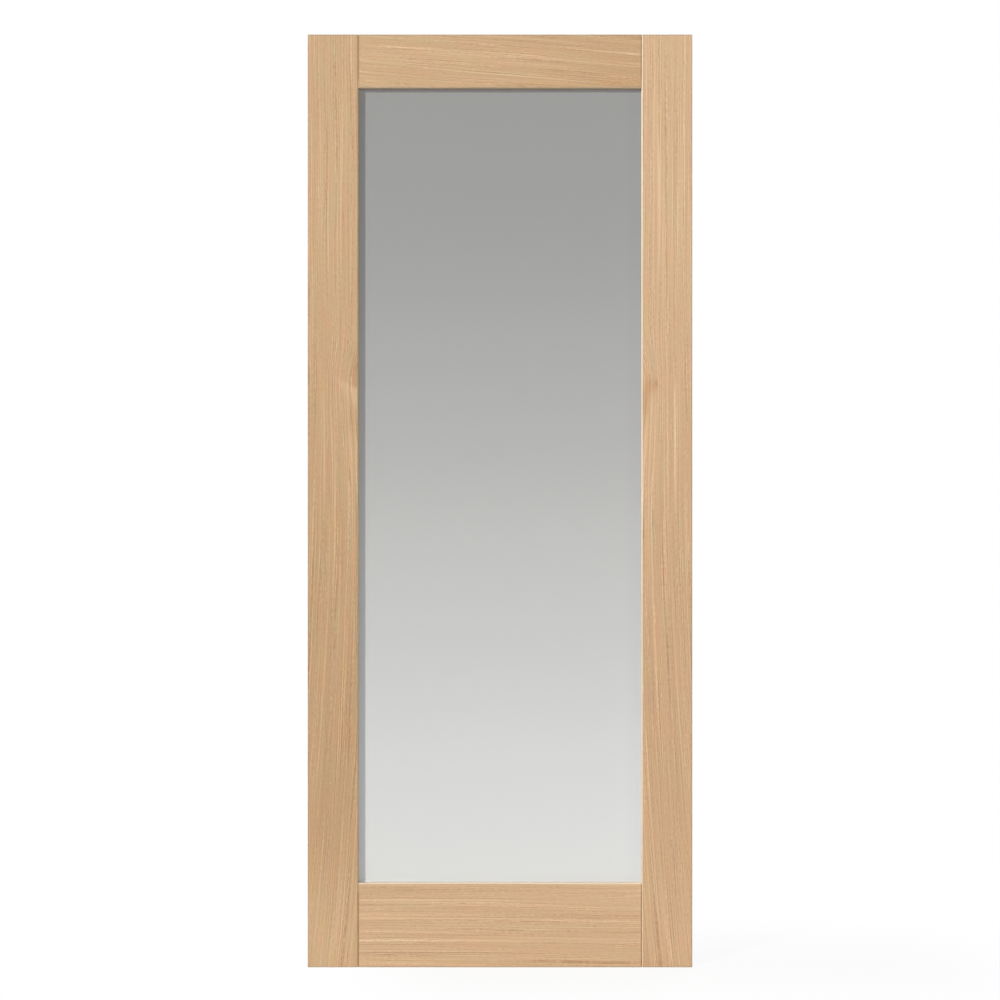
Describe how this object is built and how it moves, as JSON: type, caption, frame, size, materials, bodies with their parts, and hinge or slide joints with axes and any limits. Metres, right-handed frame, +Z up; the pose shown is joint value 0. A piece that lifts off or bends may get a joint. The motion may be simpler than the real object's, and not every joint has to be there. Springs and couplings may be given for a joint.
{
  "type": "glazed door",
  "caption": "Interior door leaf with oak-veneered stiles and rails around a tall glass pane, which loose beads hold in a rebate.",
  "frame": {"origin": "on the hinge edge, at the foot of the leaf and half-way through its thickness", "axes": "+X across the leaf from the hinge edge to the latch edge, +Y from the front face to the back, +Z up"},
  "size_m": [0.838, 0.035, 2.032],
  "materials": {
    "oak_veneer": "open-grained oak veneer under a matt clear lacquer",
    "oak_lipping": "solid oak, planed and lacquered matt",
    "softwood_core": "bare pine, sawn across at the ends",
    "satin_glass": "satin toughened glass",
    "glazing_tape": "matt closed-pore foam"
  },
  "bodies": {
    "root": {"left_stile_core": "softwood_core", "left_stile_front_veneer": "oak_veneer", "left_stile_back_veneer": "oak_veneer", "left_stile_outer_lipping": "oak_lipping", "left_stile_inner_lipping": "oak_lipping", "right_stile_core": "softwood_core", "right_stile_front_veneer": "oak_veneer", "right_stile_back_veneer": "oak_veneer", "right_stile_outer_lipping": "oak_lipping", "right_stile_inner_lipping": "oak_lipping", "top_rail_core": "softwood_core", "top_rail_front_veneer": "oak_veneer", "top_rail_back_veneer": "oak_veneer", "top_rail_inner_lipping": "oak_lipping", "bottom_rail_core": "softwood_core", "bottom_rail_front_veneer": "oak_veneer", "bottom_rail_back_veneer": "oak_veneer", "bottom_rail_inner_lipping": "oak_lipping", "glass_pane": "satin_glass", "left_front_tape": "glazing_tape", "left_back_tape": "glazing_tape", "right_front_tape": "glazing_tape", "right_back_tape": "glazing_tape", "top_front_tape": "glazing_tape", "top_back_tape": "glazing_tape", "bottom_front_tape": "glazing_tape", "bottom_back_tape": "glazing_tape", "left_bead": "oak_lipping", "right_bead": "oak_lipping", "top_bead": "oak_lipping", "bottom_bead": "oak_lipping"}
  },
  "joints": []
}
